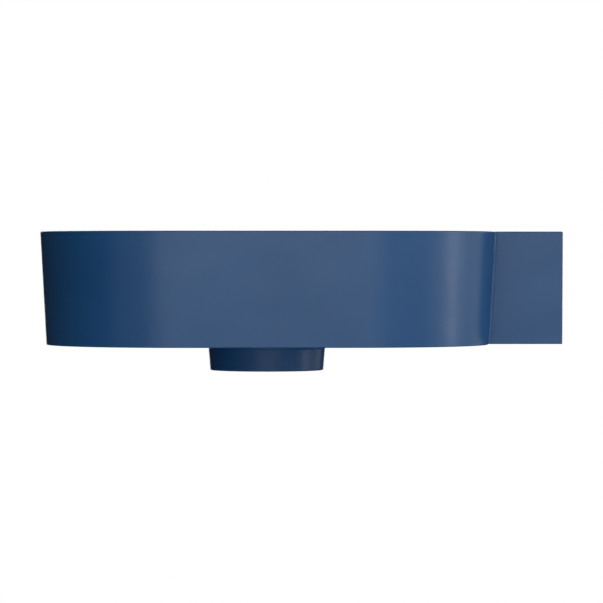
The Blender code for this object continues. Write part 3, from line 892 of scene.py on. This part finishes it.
GLAZE_BLUE = (0.0225, 0.119, 0.320)
GLAZE_DEEP = (0.0195, 0.109, 0.297)
GLAZE_THIN = (0.038, 0.150, 0.370)
GLAZE_ROUGHNESS = (0.285, 0.33)
BISQUE = (0.80, 0.76, 0.68)
BISQUE_STAIN = (0.74, 0.69, 0.60)


def glaze_colour(tree, place):
    """Blue that pools and thins a little over the ware, and thins more over its edges."""
    cloud = ranged(tree, noise(tree, place, 14.0, 3.0), 0.35, 0.65)
    colour = mixed(tree, cloud, GLAZE_BLUE, GLAZE_DEEP)
    curvature = tree.nodes.new("ShaderNodeNewGeometry").outputs["Pointiness"]
    return mixed(tree, ranged(tree, curvature, 0.54, 0.62, 0.0, 0.5), colour, GLAZE_THIN)


# How much rougher bare ware is than glazed.
BARE_ROUGHER = 0.5

# The glaze stops short of a bare face over these distances, and fades out in the cavity over these heights.
GLAZE_LINE = (0.0004, 0.0002)
GLAZE_LINE_WAVE = 0.0001
CAVITY_FADE = (0.014, 0.034)
CAVITY_FADE_WAVE = 0.005
CAVITY_EDGE = 0.0005


def bare_share(tree, place):
    """Where the casting is unglazed: the wall face, the boss's ground end and the depth of the cavity."""
    axes = tree.nodes.new("ShaderNodeSeparateXYZ")
    tree.links.new(place, axes.inputs["Vector"])
    x, y, z = axes.outputs
    far, near = GLAZE_LINE
    wave = ranged(tree, noise(tree, place, 400.0, 3.0), 0.3, 0.7, -GLAZE_LINE_WAVE, GLAZE_LINE_WAVE)
    wall = ranged(tree, calculated(tree, "ADD", y, wave), -far, -near)
    boss_end = down(BOSS_END_DEPTH)
    boss = ranged(tree, calculated(tree, "ADD", z, wave), boss_end + far, boss_end + near)
    faces = calculated(tree, "MAXIMUM", wall, boss)
    return calculated(tree, "MAXIMUM", faces, cavity_share(tree, place, x, y, z))


def cavity_share(tree, place, x, y, z):
    """The part of the service cavity that the glaze doesn't reach."""
    side = CORNER_X - SHELL + 0.003
    front = BODY_BACK_Y - POCKET_DEPTH - 0.001
    top = down(SHELL) + 0.0005
    foot = down(BODY_HEIGHT)
    from_foot, to_full = CAVITY_FADE
    spray = ranged(tree, noise(tree, place, 60.0, 4.0), 0.3, 0.7, -CAVITY_FADE_WAVE, CAVITY_FADE_WAVE)
    share = ranged(tree, calculated(tree, "ADD", z, spray), foot + from_foot, foot + to_full)
    limits = (
        ranged(tree, calculated(tree, "ABSOLUTE", x, 0.0), side + CAVITY_EDGE, side),
        ranged(tree, y, front - CAVITY_EDGE, front),
        ranged(tree, y, CAVITY_EDGE - SHELL, -SHELL),
        ranged(tree, z, top + CAVITY_EDGE, top),
    )
    for limit in limits:
        share = calculated(tree, "MULTIPLY", share, limit)
    return share


def blue_glaze():
    """Satin blue glaze over white vitreous china, which shows where the ware is left bare."""
    look, tree, shader = new_material("glaze")
    place = place_of(tree)
    ripple = noise(tree, place, 28.0, 1.0)
    peel = noise(tree, place, 260.0, 2.0)
    normal = bumped(tree, peel, 0.00004, bumped(tree, ripple, 0.00035))
    roughness = ranged(tree, noise(tree, place, 45.0, 4.0), 0.3, 0.7, *GLAZE_ROUGHNESS)
    share = bare_share(tree, place)
    stain = ranged(tree, noise(tree, place, 55.0, 5.0), 0.45, 0.75)
    body = mixed(tree, stain, BISQUE, BISQUE_STAIN)
    grain = calculated(tree, "MULTIPLY", share, noise(tree, place, 1800.0, 3.0))
    roughness = calculated(tree, "ADD", roughness, calculated(tree, "MULTIPLY", share, BARE_ROUGHER))
    tree.links.new(mixed(tree, share, glaze_colour(tree, place), body), shader.inputs["Base Color"])
    tree.links.new(roughness, shader.inputs["Roughness"])
    tree.links.new(bumped(tree, grain, 0.00012, normal), shader.inputs["Normal"])
    return look


def metal(name, light, dark, roughness, marks, grain):
    """Metal with soft blotches of tarnish, fine handling marks and a surface grain of this height."""
    look, tree, shader = new_material(name)
    place = place_of(tree)
    blotches = ranged(tree, noise(tree, place, marks, 4.0), 0.4, 0.7)
    scratches = noise(tree, place, marks * 25, 2.0)
    tree.links.new(mixed(tree, blotches, light, dark), shader.inputs["Base Color"])
    tree.links.new(ranged(tree, scratches, 0.3, 0.7, *roughness), shader.inputs["Roughness"])
    tree.links.new(bumped(tree, scratches, grain), shader.inputs["Normal"])
    shader.inputs["Metallic"].default_value = 1.0
    return look


def moulded(name, light, dark, roughness, grain, size):
    """Moulded plastic or rubber: a slight cloud in its colour and a fine texture of this height and size."""
    look, tree, shader = new_material(name)
    place = place_of(tree)
    cloud = ranged(tree, noise(tree, place, 120.0, 3.0), 0.35, 0.65)
    texture = noise(tree, place, size, 3.0)
    tree.links.new(mixed(tree, cloud, light, dark), shader.inputs["Base Color"])
    tree.links.new(ranged(tree, texture, 0.3, 0.7, *roughness), shader.inputs["Roughness"])
    tree.links.new(bumped(tree, texture, grain), shader.inputs["Normal"])
    return look


# Light and dark colour, roughness range, marks to the metre and surface grain of each metal.
METALS = {
    "chrome": ((0.80, 0.81, 0.83), (0.70, 0.71, 0.74), (0.06, 0.13), 60.0, 0.000004),
    "brass": ((0.75, 0.56, 0.27), (0.58, 0.41, 0.18), (0.24, 0.38), 90.0, 0.00002),
    "steel": ((0.63, 0.62, 0.60), (0.52, 0.51, 0.49), (0.20, 0.32), 150.0, 0.00001),
}
# Light and dark colour, roughness range, and the texture's height and size of each moulded material.
MOULDINGS = {
    "black_rubber": ((0.020, 0.020, 0.022), (0.032, 0.031, 0.030), (0.55, 0.75), 0.00006, 1500.0),
    "grey_plastic": ((0.27, 0.28, 0.29), (0.23, 0.24, 0.25), (0.38, 0.52), 0.00003, 1100.0),
    "white_plastic": ((0.82, 0.81, 0.77), (0.76, 0.75, 0.70), (0.32, 0.46), 0.00003, 900.0),
}


def make_looks():
    """The material of each slot in the record."""
    looks = {"blue_glaze": blue_glaze()}
    for name, values in METALS.items():
        looks[name] = metal(name, *values)
    for name, values in MOULDINGS.items():
        looks[name] = moulded(name, *values)
    return looks


LOOKS = make_looks()


def place_piece(made, node, body, slot):
    """Puts a piece on its body in its CAD node's place, with its slot's material."""
    made.data.transform(made.matrix_basis)
    made.matrix_basis = Matrix.Identity(4)
    made.data.materials.clear()
    made.data.materials.append(LOOKS[slot])
    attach(made, body)
    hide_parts(node)


def make_fixed_pieces():
    """Everything that stays with the basin."""
    place_piece(make_basin(), "basin_body", "basin", "blue_glaze")
    place_piece(overflow_trim(), "overflow_ring", "basin", "chrome")
    for side, sign in (("left", -1), ("right", 1)):
        place_piece(wall_sleeve(side, sign), f"fixing_sleeve_{side}", "basin", "white_plastic")
    place_piece(waste_casting(), "waste_body", "basin", "chrome")
    for name, bore, edge, slot in (
        ("flange_seal", FLANGE_SEAL_BORE, 0.0006, "black_rubber"),
        ("lower_gasket", GASKET_BORE, 0.0009, "black_rubber"),
        ("slip_washer", GASKET_BORE, 0.0003, "grey_plastic"),
    ):
        node = f"waste_{name}"
        place_piece(ring_piece(name, node, bore, edge), node, "basin", slot)
    back_nut = hex_nut("back_nut", "waste_back_nut", BACK_NUT_ACROSS, TAIL_RADIUS + CLEARANCE, 0.12)
    place_piece(back_nut, "waste_back_nut", "basin", "brass")
    place_piece(cartridge_barrel(), "cartridge_housing", "basin", "white_plastic")
    spring = coil_spring()
    place_piece(spring, "cartridge_spring", "basin", "steel")
    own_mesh(spring)


def make_plug_pieces():
    """Everything that slides with the plug."""
    place_piece(cap_dome(), "plug_cap", "plug", "blue_glaze")
    place_piece(plug_spool(), "plug_carrier", "plug", "chrome")
    place_piece(lip_seal(), "plug_seal", "plug", "black_rubber")
    lock_nut = hex_nut("lock_nut", "plug_lock_nut", LOCK_NUT_ACROSS, SHAFT_BORE, 0.0)
    place_piece(lock_nut, "plug_lock_nut", "plug", "brass")
    place_piece(plunger_shaft(), "cartridge_plunger", "plug", "steel")
    place_piece(latch_ring(), "cartridge_latch_ring", "plug", "grey_plastic")


make_fixed_pieces()
make_plug_pieces()


# Light, floor and background

FLOOR_GLOW = 0.72
FLOOR_LIGHT = (0.80, 0.80, 0.80)
FLOOR_DARK = (0.76, 0.76, 0.76)


def make_floor():
    """A plain pale floor, far below because the basin hangs on a wall. It sends no light to the basin."""
    look, tree, shader = new_material("floor")
    tint = mixed(tree, noise(tree, place_of(tree), 3.0), FLOOR_LIGHT, FLOOR_DARK)
    tree.links.new(tint, shader.inputs["Base Color"])
    shader.inputs["Roughness"].default_value = 0.9
    shader.inputs["Emission Color"].default_value = (1.0, 1.0, 1.0, 1.0)
    shader.inputs["Emission Strength"].default_value = FLOOR_GLOW
    bm = bmesh.new()
    bmesh.ops.create_grid(bm, x_segments=1, y_segments=1, size=FLOOR_HALF_SIZE)
    floor = add_object("floor", finish_mesh(bm, "floor"))
    floor.data.materials.append(look)
    floor.location.z = RIM_Z - FLOOR_BELOW_RIM
    floor.visible_diffuse = False
    floor.visible_glossy = False


# Name, azimuth from the camera towards +Y, elevation, width, height, watts. The overhead one is for the
# bowl and the far one for the side that the photo doesn't show. The others give the photo's light.
LIGHTS = (
    ("key", 0.0, 8.0, 3.3, 2.4, 47.0),
    ("right", 40.0, 8.0, 2.2, 2.4, 15.0),
    ("left", -40.0, 8.0, 2.2, 2.4, 6.5),
    ("side", 80.0, 8.0, 3.3, 2.4, 28.0),
    ("corner", 84.0, 8.0, 0.55, 2.4, 14.0),
    ("rear", 120.0, 8.0, 2.2, 2.4, 12.0),
    ("low", 0.0, -50.0, 4.4, 1.6, 22.0),
    ("overhead", 0.0, 88.0, 2.4, 2.4, 30.0),
    ("far", 180.0, 12.0, 2.2, 2.4, 40.0),
)
LIGHT_DISTANCE = 4.0
BACKDROP = (1.0, 1.0, 1.0)
AMBIENT = (0.016, 0.016, 0.016)


def make_lights():
    """Soft boxes round the basin, each facing it, unseen by the camera."""
    centre = Vector((0.0, FRONT_Y / 2, 0.0))
    for name, azimuth, elevation, width, height, watts in LIGHTS:
        data = bpy.data.lights.new(name, "AREA")
        data.shape = "RECTANGLE"
        data.size = width
        data.size_y = height
        data.energy = watts
        light = bpy.data.objects.new(name, data)
        bpy.context.scene.collection.objects.link(light)
        across, up = math.radians(azimuth), math.radians(elevation)
        outward = Vector((math.cos(across) * math.cos(up), math.sin(across) * math.cos(up), math.sin(up)))
        light.location = centre + outward * LIGHT_DISTANCE
        light.rotation_euler = outward.to_track_quat("Z", "Y").to_euler()
        light.visible_camera = False


def make_background():
    """Pure white where the camera sees past the object, and a dim grey for lighting it."""
    world = bpy.data.worlds.new("background")
    world.use_nodes = True
    tree = world.node_tree
    seen = tree.nodes.new("ShaderNodeLightPath").outputs["Is Camera Ray"]
    tree.links.new(mixed(tree, seen, AMBIENT, BACKDROP), tree.nodes["Background"].inputs["Color"])
    bpy.context.scene.world = world


def set_view():
    """Plain colours, with no film curve, so that the white stays white."""
    bpy.context.scene.view_settings.view_transform = "Standard"


make_floor()
make_lights()
make_background()
set_view()
